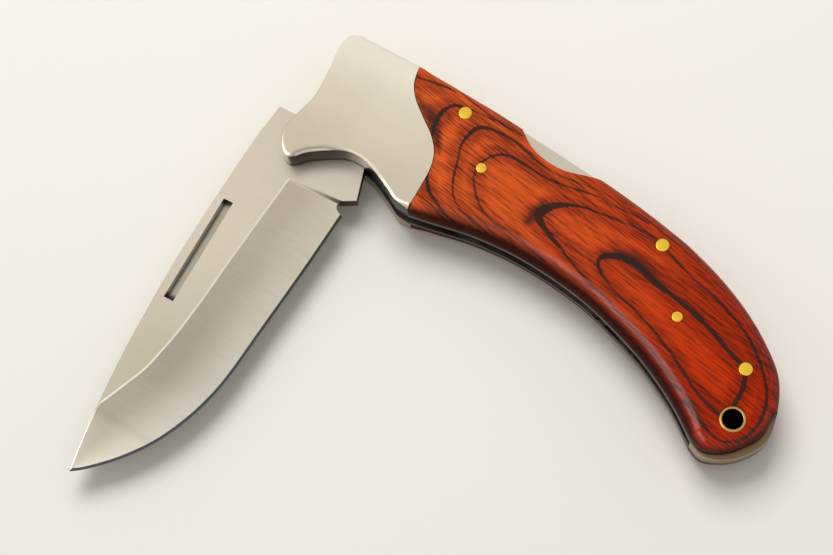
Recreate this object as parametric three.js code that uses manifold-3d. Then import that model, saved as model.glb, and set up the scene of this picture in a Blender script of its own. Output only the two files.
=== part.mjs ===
// Folding pocket knife with a back lock, shown half open: the blade stands square to the handle.
// Millimetres. The blade turns about the Z axis, +X runs along the handle to the butt, +Y points to
// the spine and +Z goes up through the thickness. The outer face of the lower bolster is at Z = 0.

import * as THREE from 'three';
import { mergeVertices } from 'three/addons/utils/BufferGeometryUtils.js';
import Module from 'manifold-3d';

const wasm = await Module();
wasm.setup();

// Thickness stack, from the outside in
const gripThickness = 4.0; // a bolster or a wooden scale
const linerThickness = 0.9;
const slotWidth = 2.8; // the layer of the blade, lock bar and back spring
const sideClearance = 0.1; // blade and lock bar to each liner

// Clearances
const pinFit = 0.1; // round a pin or a tube, on the radius
const jointGap = 0.16; // between a bolster and its scale
const runningGap = 0.12; // between lock bar and tang
const tailGap = 0.4; // between lock bar and back spring
const kickGap = 0.35; // between the kick's path and the lock bar

// Handle
const spineHeight = 13.3; // from the blade pivot to the spine
const bolsterEdge = 0.8; // rounding of the bolsters' outer edges
const scaleEdge = 3.0; // rounding of the scales' outer edges
const barProud = 0.6; // lock bar above the scales
const buttBare = 1.1; // widest band of metal beyond the wood, round the butt

// Pins and tube, placed from the blade pivot
const pivotDiameter = 4.0;
const pivotCover = 0.8; // bolster left over each end of the pivot
const largePin = 2.5;
const smallPin = 2.0;
const rivetDiameter = 1.8;
const rivetLength = 3.0;
const tubeDiameter = 4.9;
const tubeBore = 3.6;
const rockerPlace = { x: 20.3, y: spineHeight - 4.4 };
const springPinPlaces = {
  front: { x: 65.3, y: spineHeight - 9.7 },
  rear: { x: 89.5, y: spineHeight - 23.3 },
};
const scalePinPlaces = { front: { x: 28.6, y: 0.6 }, rear: { x: 74.2, y: -7.3 } };
const rivetPlaces = { front: { x: -2.6, y: 8.6 }, rear: { x: 12.4, y: -6.2 } };
const tubePlace = { x: 91.8, y: -19.4 };

// Lock
const tangRadius = 7.0;
const hookReach = 5.3; // from the pivot to the front of the hook
const hookWidth = 2.6;
const lockDrop = 0.85; // travel of the hook from raised to locked
const barUnderPin = 1.25; // metal of the lock bar below the rocker pin
const tailReach = 50.0; // from the pivot to the end of the lock bar
const tailDepth = 5.5; // height of the lock bar at its tail
const leafTipReach = 38.0;
const leafThickness = 1.3;
const leafDrop = 0.9; // leaf below the lock bar

// Blade, measured on the open knife with the tip towards -X
const bladeReach = 86.0; // from the pivot to the tip
const kickReach = { x: -15.1, y: -10.2 };
const grindHalfEdge = 0.3; // half of the thickness where the edge bevel starts
const grindHeight = 11.5; // from there up to where the ground face reaches full thickness
const edgeHalf = 0.06;
const bevelWidth = 0.8;
const nickLength = 22.3;
const nickWidth = 1.9;
const nickDepth = 0.8;
const nickPlace = { x: -38.2, y: 10.75 };
const nickTilt = THREE.MathUtils.degToRad(1.9);
const halfOpen = Math.PI / 2; // from open to the pose that is modelled
const closedTurn = THREE.MathUtils.degToRad(171); // from open to closed

const linerBottom = gripThickness;
const slotBottom = linerBottom + linerThickness;
const slotTop = slotBottom + slotWidth;
const linerTop = slotTop + linerThickness;
const total = linerTop + gripThickness;
const bladeHalf = slotWidth / 2 - sideClearance;
const slotMiddle = (slotBottom + slotTop) / 2;
const pinSides = 24;

const looks = {
  steel: { color: 0xcfc8bb, roughness: 0.35, metalness: 1.0 },
  spring: { color: 0xb9b4aa, roughness: 0.4, metalness: 1.0 },
  nickel: { color: 0xd9d2c2, roughness: 0.3, metalness: 1.0 },
  brass: { color: 0xd9b24a, roughness: 0.3, metalness: 1.0 },
  wood: { color: 0xa8401b, roughness: 0.3, metalness: 0.0 },
};

const model = new THREE.Group();

// Closed geometry to a solid
function solid(geometry) {
  geometry.deleteAttribute('normal');
  geometry.deleteAttribute('uv');
  const welded = mergeVertices(geometry, 1e-5);
  const mesh = new wasm.Mesh({
    numProp: 3,
    vertProperties: new Float32Array(welded.attributes.position.array),
    triVerts: new Uint32Array(welded.index.array),
  });
  return new wasm.Manifold(mesh);
}

function addPiece(name, body, look) {
  const { vertProperties, triVerts } = body.getMesh();
  const geometry = new THREE.BufferGeometry();
  geometry.setAttribute('position', new THREE.BufferAttribute(vertProperties, 3));
  geometry.setIndex(new THREE.BufferAttribute(triVerts, 1));
  geometry.computeVertexNormals();
  const mesh = new THREE.Mesh(geometry, new THREE.MeshStandardMaterial(look));
  mesh.name = name;
  model.add(mesh);
}

const point = (x, y) => new THREE.Vector2(x, y);
const curve = (points, steps) => new THREE.SplineCurve(points).getPoints(steps);

// Flat plate with this outline, between two heights
function plate(outline, bottom, top) {
  const geometry = new THREE.ExtrudeGeometry(new THREE.Shape(outline), {
    depth: top - bottom,
    bevelEnabled: false,
  });
  geometry.translate(0, 0, bottom);
  return solid(geometry);
}

// Slab as thick as the whole knife, with its outer edges rounded
function roundedSlab(outline, radius, segments) {
  const geometry = new THREE.ExtrudeGeometry(new THREE.Shape(outline), {
    depth: total - 2 * radius,
    bevelThickness: radius,
    bevelSize: radius,
    bevelOffset: -radius,
    bevelSegments: segments,
  });
  geometry.translate(0, 0, radius);
  return solid(geometry);
}

function cylinder(place, diameter, bottom, top) {
  const geometry = new THREE.CylinderGeometry(diameter / 2, diameter / 2, top - bottom, pinSides);
  geometry.rotateX(Math.PI / 2);
  geometry.translate(place.x, place.y, (bottom + top) / 2);
  return solid(geometry);
}

const pivotPlace = { x: 0, y: 0 };
const hole = (place, diameter) => cylinder(place, diameter + 2 * pinFit, -1, total + 1);

// Spine of the handle, from over the joint to the butt
const spinePoints = [
  point(8, spineHeight),
  point(20.5, spineHeight - 0.4),
  point(31, spineHeight - 1.2),
  point(51.4, spineHeight - 3.4),
  point(65.9, spineHeight - 5.6),
  point(72.9, spineHeight - 7.5),
  point(79.3, spineHeight - 9.9),
  point(85.6, spineHeight - 13.1),
  point(90.5, spineHeight - 16.6),
  point(94.5, spineHeight - 20.2),
  point(96.7, spineHeight - 23.6),
  point(98.1, spineHeight - 27.2),
];
const spineLine = curve(spinePoints, 33);

function spineAt(x) {
  if (x <= spineLine[0].x) return spineHeight;
  const next = spineLine.findIndex((p) => p.x > x);
  const [a, b] = [spineLine[next - 1], spineLine[next]];
  return a.y + ((b.y - a.y) * (x - a.x)) / (b.x - a.x);
}

// The part of the spine between two stations, raised a little
function spineBetween(start, end, raise) {
  const inner = spineLine.filter((p) => p.x > start && p.x < end);
  const line = [point(start, spineAt(start)), ...inner, point(end, spineAt(end))];
  return line.map((p) => point(p.x, p.y + raise));
}

// Butt, between the end of the spine and the start of the belly
const buttLine = curve([
  point(98.1, spineHeight - 27.2),
  point(98.8, spineHeight - 30.6),
  point(98.5, spineHeight - 32.8),
  point(97.4, -21.6),
  point(95.6, -23.9),
  point(93.4, -25.6),
  point(91.3, -26.5),
  point(89.4, -26.7),
  point(87.8, -26.1),
  point(86.6, -25.4),
], 18).slice(1, -1);

// Edge of the wood there, drawn in towards the lanyard tube
const woodButtLine = buttLine.map((p, i) => {
  const share = ((i + 1) / (buttLine.length + 1)) ** 0.6;
  const inward = point(tubePlace.x - p.x, tubePlace.y - p.y).normalize();
  return inward.multiplyScalar(buttBare * Math.sin(Math.PI * share)).add(p);
});

// Belly, from the butt to the end of the finger groove
const bellyLine = curve([
  point(86.6, -25.4),
  point(81.2, -21.5),
  point(75.9, -18.5),
  point(70.8, -16.1),
  point(63.9, -13.7),
  point(57.5, -11.9),
  point(50.6, -10.8),
  point(44.4, -10.3),
  point(38.8, -10.3),
  point(32.2, -10.9),
  point(25.0, -12.3),
  point(20.5, -13.1),
], 22);

// Finger groove, from behind the guard to the joint
const grooveLine = curve([
  point(20.5, -13.1),
  point(17.6, -12.8),
  point(14.9, -11.4),
  point(10.2, -9.2),
  point(6.4, -8.6),
  point(3.2, -9.4),
  point(-1.4, -12.3),
  point(-3.2, -14.2),
], 21);

// Front of the bolster, from the guard up to the spine
const guardLine = curve([
  point(-3.2, -14.2),
  point(-4.6, -15.1),
  point(-6.3, -14.4),
  point(-8.0, -12.0),
  point(-8.4, -9.6),
  point(-7.7, -6.4),
  point(-6.8, -1.6),
  point(-7.2, 3.9),
  point(-7.8, spineHeight - 5.3),
  point(-7.9, spineHeight - 2.7),
  point(-7.2, spineHeight - 0.9),
  point(-5.6, spineHeight),
], 33);

// Curved joint between bolster and scale, from the belly to the spine
const jointLine = curve([
  point(20.7, -14.2),
  point(20.6, -8.1),
  point(20.3, -4.0),
  point(19.2, -0.8),
  point(16.9, 1.9),
  point(13.6, 4.4),
  point(10.5, 7.0),
  point(8.6, 9.8),
  point(7.6, spineHeight + 1),
], 20);

const handleOutline = [
  ...spineLine,
  ...buttLine,
  ...bellyLine.slice(0, -1),
  ...grooveLine.slice(0, -1),
  ...guardLine,
];
const scaleOutline = [
  point(2, spineHeight),
  ...spineLine,
  ...woodButtLine,
  ...bellyLine.slice(0, -1),
  point(20.5, -13.1),
  point(2, -9),
];

// Everything on one side of the joint, kept half a gap away from it
function behindJoint(side) {
  const shift = (side * jointGap) / 2;
  const line = jointLine.map((p) => point(p.x + 0.85 * shift, p.y + 0.53 * shift));
  const far = side * 120;
  const corners = [point(far, spineHeight + 1), point(far, -60), point(line[0].x, -60)];
  return plate([...line, ...corners], -1, total + 1);
}

// Thumb scallop that bares the lock bar
const scallopOutline = [
  point(30.6, spineHeight + 3),
  ...curve([
    point(30.9, 12.0),
    point(32.4, 10.5),
    point(35.2, 8.7),
    point(38.6, 7.8),
    point(42.1, 7.7),
    point(45.5, 8.5),
    point(49.6, 10.0),
  ], 16),
  point(51.0, spineHeight + 3),
];
const scallop = plate(scallopOutline, -1, total + 1);

const slabLayer = (bottom, top) => plate([
  point(-40, -60), point(130, -60), point(130, 60), point(-40, 60),
], bottom, top);

const upperLayer = slabLayer(linerTop, total + 1);
const lowerLayer = slabLayer(-1, linerBottom);

// Bolsters, with blind holes for the pivot and for the rivets
const bolsterSlab = roundedSlab(handleOutline, bolsterEdge, 3).intersect(behindJoint(-1));
const pivotHole = cylinder(pivotPlace, pivotDiameter + 2 * pinFit, pivotCover - pinFit, total - pivotCover + pinFit);
const rivetEnds = {
  upper: [slotTop, slotTop + rivetLength],
  lower: [slotBottom - rivetLength, slotBottom],
};

function rivetHoles(side) {
  const [bottom, top] = rivetEnds[side];
  return Object.values(rivetPlaces)
    .map((place) => cylinder(place, rivetDiameter + 2 * pinFit, bottom - pinFit, top + pinFit))
    .reduce((all, one) => all.add(one));
}

const rivetHolesBoth = rivetHoles('upper').add(rivetHoles('lower'));
const bolsterCut = bolsterSlab.subtract(pivotHole).subtract(rivetHolesBoth);
addPiece('bolster_upper', bolsterCut.intersect(upperLayer), looks.nickel);
addPiece('bolster_lower', bolsterCut.intersect(lowerLayer), looks.nickel);

// Liners, one outline through bolsters and scales, and holes for every pin
const throughHoles = [
  hole(rockerPlace, largePin),
  hole(springPinPlaces.front, largePin),
  hole(springPinPlaces.rear, largePin),
  hole(scalePinPlaces.front, smallPin),
  hole(scalePinPlaces.rear, smallPin),
  hole(tubePlace, tubeDiameter),
].reduce((all, one) => all.add(one));

const linerBlank = plate(handleOutline, linerBottom, linerTop)
  .subtract(scallop)
  .subtract(throughHoles)
  .subtract(pivotHole)
  .subtract(rivetHolesBoth);
addPiece('liner_upper', linerBlank.intersect(slabLayer(slotTop, linerTop)), looks.steel);
addPiece('liner_lower', linerBlank.intersect(slabLayer(linerBottom, slotBottom)), looks.steel);

// Wooden scales
const scaleBlank = roundedSlab(scaleOutline, scaleEdge, 4)
  .intersect(behindJoint(1))
  .subtract(scallop)
  .subtract(throughHoles);
addPiece('scale_upper', scaleBlank.intersect(upperLayer), looks.wood);
addPiece('scale_lower', scaleBlank.intersect(lowerLayer), looks.wood);

// Lock bar: the hook drops behind the tang, the tail is lifted by the leaf of the back spring
const hookFront = -hookReach;
const hookBack = hookFront + hookWidth;
const hookBottom = Math.sqrt((tangRadius + 1.5 * runningGap) ** 2 - hookBack ** 2);
const barUnder = tangRadius + lockDrop + runningGap;
const kickClear = Math.hypot(kickReach.x, kickReach.y) + kickGap;
const barHoleRadius = largePin / 2 + pinFit;
const barLow = rockerPlace.y - barHoleRadius - barUnderPin;
const bumpFront = Math.sqrt(kickClear ** 2 - barLow ** 2);
const tailTop = spineAt(tailReach) + barProud;
const tailUnder = tailTop - tailDepth;
const barOutline = [
  point(hookFront, hookBottom),
  point(hookBack, hookBottom),
  point(hookBack, barUnder),
  point(bumpFront - kickGap, barUnder),
  point(bumpFront, barLow),
  point(rockerPlace.x + barHoleRadius + barUnderPin, barLow),
  point(tailReach, tailUnder),
  ...spineBetween(hookFront, tailReach, barProud).reverse(),
];
const lockBar = plate(barOutline, slotMiddle - bladeHalf, slotMiddle + bladeHalf)
  .subtract(hole(rockerPlace, largePin));
addPiece('lock_bar', lockBar, looks.spring);

// Back spring: it fills the spine behind the lock bar and the butt, and sends a leaf under the tail
const springFront = tailReach + tailGap;
const leafTop = tailUnder - leafDrop;
const springLine = spineLine.filter((p) => p.x > springFront);
const springOutline = [
  point(springFront, spineAt(springFront)),
  ...springLine,
  ...buttLine,
  ...curve([
    point(86.9, -25.2),
    point(86.2, -23.0),
    point(86.3, -19.0),
    point(84.9, -13.5),
    point(81.2, -7.6),
    point(76.0, -3.6),
    point(70.0, -1.0),
    point(62.0, 0.8),
    point(55.5, 1.9),
    point(springFront, leafTop - leafThickness),
  ], 22),
  point(leafTipReach, leafTop + 0.4 - leafThickness),
  point(leafTipReach, leafTop + 0.4),
  point(springFront, leafTop),
];
const backSpring = plate(springOutline, slotBottom, slotTop)
  .subtract(hole(springPinPlaces.front, largePin))
  .subtract(hole(springPinPlaces.rear, largePin))
  .subtract(hole(tubePlace, tubeDiameter));
addPiece('back_spring', backSpring, looks.spring);

// Pins and tube
addPiece('pivot_pin', cylinder(pivotPlace, pivotDiameter, pivotCover, total - pivotCover), looks.nickel);
addPiece('rocker_pin', cylinder(rockerPlace, largePin, 0, total), looks.brass);
for (const [end, place] of Object.entries(springPinPlaces)) {
  addPiece(`spring_pin_${end}`, cylinder(place, largePin, 0, total), looks.brass);
}
for (const [end, place] of Object.entries(scalePinPlaces)) {
  addPiece(`scale_pin_upper_${end}`, cylinder(place, smallPin, slotTop, total), looks.brass);
  addPiece(`scale_pin_lower_${end}`, cylinder(place, smallPin, 0, slotBottom), looks.brass);
}
for (const [end, place] of Object.entries(rivetPlaces)) {
  for (const [side, [bottom, top]] of Object.entries(rivetEnds)) {
    addPiece(`bolster_rivet_${side}_${end}`, cylinder(place, rivetDiameter, bottom, top), looks.nickel);
  }
}
const tube = cylinder(tubePlace, tubeDiameter, 0, total)
  .subtract(cylinder(tubePlace, tubeBore, -1, total + 1));
addPiece('lanyard_tube', tube, looks.brass);

// Blade, drawn on the open knife
const bladeSpine = [
  point(-16.0, spineHeight + 0.35),
  point(-30.0, spineHeight + 0.4),
  point(-42.0, spineHeight + 0.15),
  point(-52.0, spineHeight - 0.45),
  point(-62.0, spineHeight - 1.3),
  point(-72.0, spineHeight - 2.6),
  point(-79.0, spineHeight - 3.6),
  point(-bladeReach, spineHeight - 4.8),
];

// The last point lies beyond the spine, so that the line runs straight into it
const grindLine = [
  point(-17.4, 3.4),
  point(-34.0, 4.3),
  point(-47.0, 4.8),
  point(-54.0, 5.3),
  point(-58.5, 5.9),
  point(-62.9, 6.7),
  point(-67.4, 8.3),
  point(-72.4, 10.2),
  point(-80.0, spineHeight - 0.2),
];
const edgeLine = [
  point(-16.4, -9.2),
  point(-32.0, -8.7),
  point(-44.0, -8.1),
  point(-56.0, -7.5),
  point(-62.0, -6.6),
  point(-68.0, -4.9),
  point(-74.0, -2.2),
  point(-79.5, 1.6),
  point(-84.0, 5.8),
  point(-bladeReach, spineHeight - 5.0),
];

// Height of a line at a station, by its spline
function lineReader(points) {
  const line = curve(points, 120);
  return (x) => {
    const next = line.findIndex((p) => p.x <= x);
    if (next <= 0) return line[next === 0 ? 0 : line.length - 1].y;
    const [a, b] = [line[next - 1], line[next]];
    return a.y + ((b.y - a.y) * (x - a.x)) / (b.x - a.x);
  };
}

// Ground part of the blade: cross sections of eight corners from the plunge to the tip
function groundBlade() {
  const spineY = lineReader(bladeSpine);
  const grindY = lineReader(grindLine);
  const edgeY = lineReader(edgeLine);
  const stations = 34;
  const start = -17.4;
  const leastStep = 0.05;
  const corners = [];
  for (let i = 0; i <= stations; i++) {
    const x = start + ((-bladeReach - start) * i) / stations;
    const slant = (0.9 * Math.max(0, stations - 4 * i)) / stations;
    const yEdge = edgeY(x);
    const ySpine = Math.max(spineY(x), yEdge + 4 * leastStep);
    const yGrind = Math.min(Math.max(grindY(x), yEdge + 3 * leastStep), ySpine - leastStep);
    const slope = edgeY(x + 0.5) - edgeY(x - 0.5); // over one millimetre
    const rise = bevelWidth * Math.hypot(1, slope);
    const yBevel = Math.min(yEdge + rise, yGrind - leastStep);
    const thickening = ((bladeHalf - grindHalfEdge) * (yGrind - yBevel)) / grindHeight;
    const half = Math.min(bladeHalf, grindHalfEdge + thickening);
    const section = [
      [x, ySpine, half],
      [x, yGrind, half],
      [x + slant, yBevel, grindHalfEdge],
      [x + slant, yEdge, edgeHalf],
    ];
    section.forEach(([a, b, c]) => corners.push(a, b, slotMiddle + c));
    section.reverse().forEach(([a, b, c]) => corners.push(a, b, slotMiddle - c));
  }
  const ring = 8;
  const faces = [];
  for (let i = 0; i < stations; i++) {
    for (let j = 0; j < ring; j++) {
      const a = i * ring + j;
      const b = i * ring + ((j + 1) % ring);
      faces.push(a, a + ring, b, b, a + ring, b + ring);
    }
  }
  const last = stations * ring;
  for (const [j, k] of [[0, 1], [1, 2], [2, 3]]) {
    const [m, n] = [7 - k, 7 - j];
    faces.push(j, k, m, j, m, n);
    faces.push(last + j, last + m, last + k, last + j, last + n, last + m);
  }
  const geometry = new THREE.BufferGeometry();
  geometry.setAttribute('position', new THREE.Float32BufferAttribute(corners, 3));
  geometry.setIndex(faces);
  const mesh = new wasm.Mesh({
    numProp: 3,
    vertProperties: geometry.attributes.position.array,
    triVerts: new Uint32Array(geometry.index.array),
  });
  return new wasm.Manifold(mesh);
}

// Tang and ricasso: full thickness, round behind the hook, with the kick below
const bladeBottom = slotMiddle - bladeHalf;
const bladeTop = slotMiddle + bladeHalf;
const notchFront = hookFront - 2 * runningGap;
const notchBack = hookBack + 2 * runningGap;
const notchFloor = hookBottom - lockDrop - 0.5 * runningGap;
const ricasso = plate([
  point(-12.0, spineHeight + 0.2),
  point(-17.4, spineHeight + 0.35),
  point(-17.4, 3.4),
  point(-16.5, -7.8),
  point(kickReach.x, kickReach.y),
  point(-8.3, -7.9),
  point(-1, -5.1),
  point(0, 0),
  point(notchFront, notchFloor),
  point(notchFront, spineHeight - 0.3),
], bladeBottom, bladeTop);
const tangRound = cylinder(pivotPlace, 2 * tangRadius, bladeBottom, bladeTop);
const hookSpace = plate([
  point(notchFront, notchFloor),
  point(notchBack, notchFloor),
  point(notchBack, spineHeight + 5),
  point(notchFront, spineHeight + 5),
], -1, total + 1);
const turned = (body, angle) => body.rotate([0, 0, THREE.MathUtils.radToDeg(angle)]);
const choil = plate(curve([
  point(-16.2, -8.4),
  point(-16.6, -7.6),
  point(-17.3, -7.2),
  point(-18.1, -7.5),
  point(-18.6, -8.4),
  point(-19.0, -9.6),
], 10).concat([point(-16.0, -9.6)]), -1, total + 1);

// Nail nick: a V groove whose steep wall is on the spine side
const nickShape = new THREE.Shape([
  point(-nickWidth / 2, 0.5),
  point(-nickWidth / 2, 0),
  point(nickWidth / 2 - 0.4, -nickDepth),
  point(nickWidth / 2, 0),
  point(nickWidth / 2, 0.5),
]);
const nickGeometry = new THREE.ExtrudeGeometry(nickShape, { depth: nickLength, bevelEnabled: false });
nickGeometry.translate(0, 0, -nickLength / 2);
nickGeometry.rotateY(Math.PI / 2);
nickGeometry.rotateX(Math.PI / 2);
nickGeometry.rotateZ(nickTilt);
nickGeometry.translate(nickPlace.x, nickPlace.y, bladeTop);

const openBlade = ricasso
  .add(tangRound)
  .add(groundBlade())
  .subtract(choil)
  .subtract(hole(pivotPlace, pivotDiameter))
  .subtract(hookSpace)
  .subtract(turned(hookSpace, -halfOpen))
  .subtract(turned(hookSpace, -closedTurn))
  .subtract(solid(nickGeometry));
addPiece('blade', turned(openBlade, halfOpen), looks.steel);

export default model;
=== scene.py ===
# Folding pocket knife with a back lock, half open, lying on a pale table.
# Shapes are drawn in millimetres with the blade pivot at 0, the butt towards +X and the spine towards +Y,
# and are brought to metres when a piece is finished.

import math
import bpy
import bmesh
import numpy as np
from mathutils import Matrix, Vector


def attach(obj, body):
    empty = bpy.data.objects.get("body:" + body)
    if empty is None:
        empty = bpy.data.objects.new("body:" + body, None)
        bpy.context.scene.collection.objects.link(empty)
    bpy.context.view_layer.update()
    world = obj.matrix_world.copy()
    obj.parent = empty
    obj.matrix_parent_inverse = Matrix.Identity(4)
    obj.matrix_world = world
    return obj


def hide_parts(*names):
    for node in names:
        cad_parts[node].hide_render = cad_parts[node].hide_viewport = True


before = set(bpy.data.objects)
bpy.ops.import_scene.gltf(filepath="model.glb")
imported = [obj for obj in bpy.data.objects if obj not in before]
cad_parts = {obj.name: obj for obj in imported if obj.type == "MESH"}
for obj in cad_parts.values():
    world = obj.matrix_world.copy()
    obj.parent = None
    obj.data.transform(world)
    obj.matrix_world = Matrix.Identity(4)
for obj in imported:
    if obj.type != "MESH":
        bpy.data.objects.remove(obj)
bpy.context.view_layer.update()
mm = 0.001
print("frame loaded")

# Heights of the layers through the thickness, and the play on each side of a moving piece
layers = {"total": 12.6, "slotBottom": 4.9, "slotTop": 7.7, "linerTop": 8.6, "play": 0.1}
total = layers["total"]
slotMiddle = (layers["slotBottom"] + layers["slotTop"]) / 2
through = (0, 20)  # bottom and top of a cutter that goes right through
weld = 0.0005  # points closer than this become one


# Shader sums: a socket that takes part in Python expressions
class Reading:
    def __init__(self, finish, socket):
        self.finish = finish
        self.socket = socket

    def sum(self, operation, *others):
        inputs = dict(enumerate((self, *others)))
        return self.finish.add("ShaderNodeMath", {"operation": operation}, inputs)

    def flipped(self, operation, other):
        return self.finish.add("ShaderNodeMath", {"operation": operation}, {0: other, 1: self})

    def __add__(self, other):
        return self.sum("ADD", other)

    def __radd__(self, other):
        return self.flipped("ADD", other)

    def __sub__(self, other):
        return self.sum("SUBTRACT", other)

    def __rsub__(self, other):
        return self.flipped("SUBTRACT", other)

    def __mul__(self, other):
        return self.sum("MULTIPLY", other)

    def __rmul__(self, other):
        return self.flipped("MULTIPLY", other)

    def __truediv__(self, other):
        return self.sum("DIVIDE", other)

    # 0 below low, 1 above high, smooth between
    def fade(self, low, high):
        limits = {"Value": self, "From Min": low, "From Max": high}
        return self.finish.add("ShaderNodeMapRange", {"interpolation_type": "SMOOTHSTEP"}, limits)


# The nodes of one material, or of the world
class Finish:
    def __init__(self, owner):
        self.owner = owner
        self.owner.use_nodes = True
        self.tree = self.owner.node_tree
        self.tree.nodes.clear()

    def add(self, kind, settings=None, inputs=None, output=0):
        node = self.tree.nodes.new(kind)
        for key, value in (settings or {}).items():
            setattr(node, key, value)
        for key, value in (inputs or {}).items():
            if isinstance(value, Reading):
                self.tree.links.new(value.socket, node.inputs[key])
            else:
                node.inputs[key].default_value = value
        return Reading(self, node.outputs[output]) if node.outputs else None

    # The object's own coordinates, turned about z and then scaled, per millimetre
    def place(self, scale, turn=0.0, shift=(0, 0, 0)):
        point = {"vector_type": "POINT"}
        coords = self.add("ShaderNodeTexCoord", output="Object")
        turned = self.add("ShaderNodeMapping", point, {"Vector": coords, "Rotation": (0, 0, turn)})
        stretch = tuple(s / mm for s in scale)
        return self.add("ShaderNodeMapping", point, {"Vector": turned, "Scale": stretch, "Location": shift})

    # The object's own x, y or z in millimetres
    def measure(self, axis):
        coords = self.add("ShaderNodeTexCoord", output="Object")
        return self.add("ShaderNodeSeparateXYZ", inputs={0: coords}, output=axis) / mm

    # What the points of the piece carry under this name
    def mark(self, name):
        return self.add("ShaderNodeAttribute", {"attribute_name": name}, output="Fac")

    def noise(self, where, detail=2.0, roughness=0.5):
        inputs = {"Vector": where, "Scale": 1.0, "Detail": detail, "Roughness": roughness}
        return self.add("ShaderNodeTexNoise", {"noise_dimensions": "3D"}, inputs)

    def mix(self, factor, first, second):
        return self.add("ShaderNodeMix", {"data_type": "RGBA"}, {0: factor, 6: first, 7: second}, 2)

    def relief(self, height, distance, strength):
        inputs = {"Height": height, "Distance": distance * mm, "Strength": strength}
        return self.add("ShaderNodeBump", inputs=inputs)

    def surface(self, **inputs):
        named = {key.replace("_", " "): value for key, value in inputs.items()}
        shader = self.add("ShaderNodeBsdfPrincipled", inputs=named)
        self.add("ShaderNodeOutputMaterial", inputs={"Surface": shader})
        return self.owner


# A colour as it looks on screen, 0 to 255
def paint(red, green, blue):
    shares = [c / 255 for c in (red, green, blue)]
    return (*(s / 12.92 if s <= 0.04045 else ((s + 0.055) / 1.055) ** 2.4 for s in shares), 1.0)


# Laminated wood: grain lines, broad tones, dark layers and painted shade on the side under the rounded edge.
# A rise is a distance from the middle of the thickness, from where a look starts to fade in or out to where
# it is done.
woodLook = {
    "grainTurn": math.radians(10),
    "bright": paint(208, 86, 32),
    "middle": paint(166, 62, 26),
    "rearBright": paint(184, 46, 0),
    "rearMiddle": paint(156, 34, 0),
    "rearReach": (20, 95),
    "line": paint(70, 24, 10),
    "band": paint(44, 28, 24),
    "bandShare": 0.95,
    "smearShare": 0.8,
    # Painted shade for the side under the rounded edge
    "side": paint(44, 4, 2),
    "sideShadeShare": 0.96,
    "sideShadeRise": (4.4, 6.05),
    "ridgeRise": (4.9, 5.6),
    "ridgeEndRise": (6.0, 6.25),
    "gloss": 0.1,
    "ridgeGloss": 0.3,
    "glossRise": (3.2, 5.2),
    "glossBlur": 0.22,
}


def makeWood():
    wood = Finish(bpy.data.materials.new("laminatedWood"))
    look = woodLook
    turn = look["grainTurn"]
    sway = wood.noise(wood.place((0.04, 0.07, 0.1)), 1.0)
    stretched = wood.place((0.1, 3.0, 0.7), turn)
    lift = wood.add("ShaderNodeCombineXYZ", inputs={"Y": sway})
    steps = {0: lift, 1: (1, 4.0, 1), 2: stretched}
    bent = wood.add("ShaderNodeVectorMath", {"operation": "MULTIPLY_ADD"}, steps)
    fine = wood.noise(bent, 2.5, 0.6)
    finer = wood.noise(wood.place((0.26, 6.4, 0.7), turn, (5, 2, 0)), 1.5)
    broad = wood.noise(wood.place((0.03, 0.3, 0.2), turn), 2.0)
    figure, smear, flankShadeAndGloss = (wood.mark(name) for name in ("figure", "smear", "flankShadeAndGloss"))
    tone = (broad * 1.2 + figure.fade(0.2, 3.2) * 0.55).fade(0.5, 1.15)
    front = wood.mix(tone, look["middle"], look["bright"])
    rear = wood.mix(tone, look["rearMiddle"], look["rearBright"])
    ground = wood.mix(wood.measure(0).fade(*look["rearReach"]), front, rear)
    streak = 1 - (fine * 0.42 + finer * 0.58).fade(0.42, 0.53)
    colour = wood.mix(streak * (0.84 - 0.3 * tone), ground, look["line"])
    shaded = 1 - (smear + (finer - 0.5) * 1.6).fade(-0.7, 0.8)
    colour = wood.mix(shaded * look["smearShare"], colour, look["band"])
    edge = (figure + (fine - 0.5) * 0.4 + (finer - 0.5) * 0.5).fade(-0.16, 0.18)
    colour = wood.mix((1 - edge) * look["bandShare"], colour, look["band"])
    # Painted shade: the side under the rounded edge is painted dark maroon, as far as the outline weighs it
    rise = (wood.measure(2) - total / 2).sum("ABSOLUTE")
    side = (1 - rise.fade(*look["sideShadeRise"])) * flankShadeAndGloss
    colour = wood.mix(side * look["sideShadeShare"], colour, look["side"])
    ridge = rise.fade(*look["ridgeRise"]) * (1 - rise.fade(*look["ridgeEndRise"])) * flankShadeAndGloss
    return wood.surface(
        Base_Color=colour,
        Roughness=0.4 - 0.08 * edge,
        Specular_IOR_Level=0.03,
        Coat_Weight=(look["gloss"] + look["ridgeGloss"] * ridge) * rise.fade(*look["glossRise"]),
        Coat_Roughness=look["glossBlur"],
        Coat_IOR=1.4,
        Normal=wood.relief(fine, 0.02, 0.2),
    )


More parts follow.
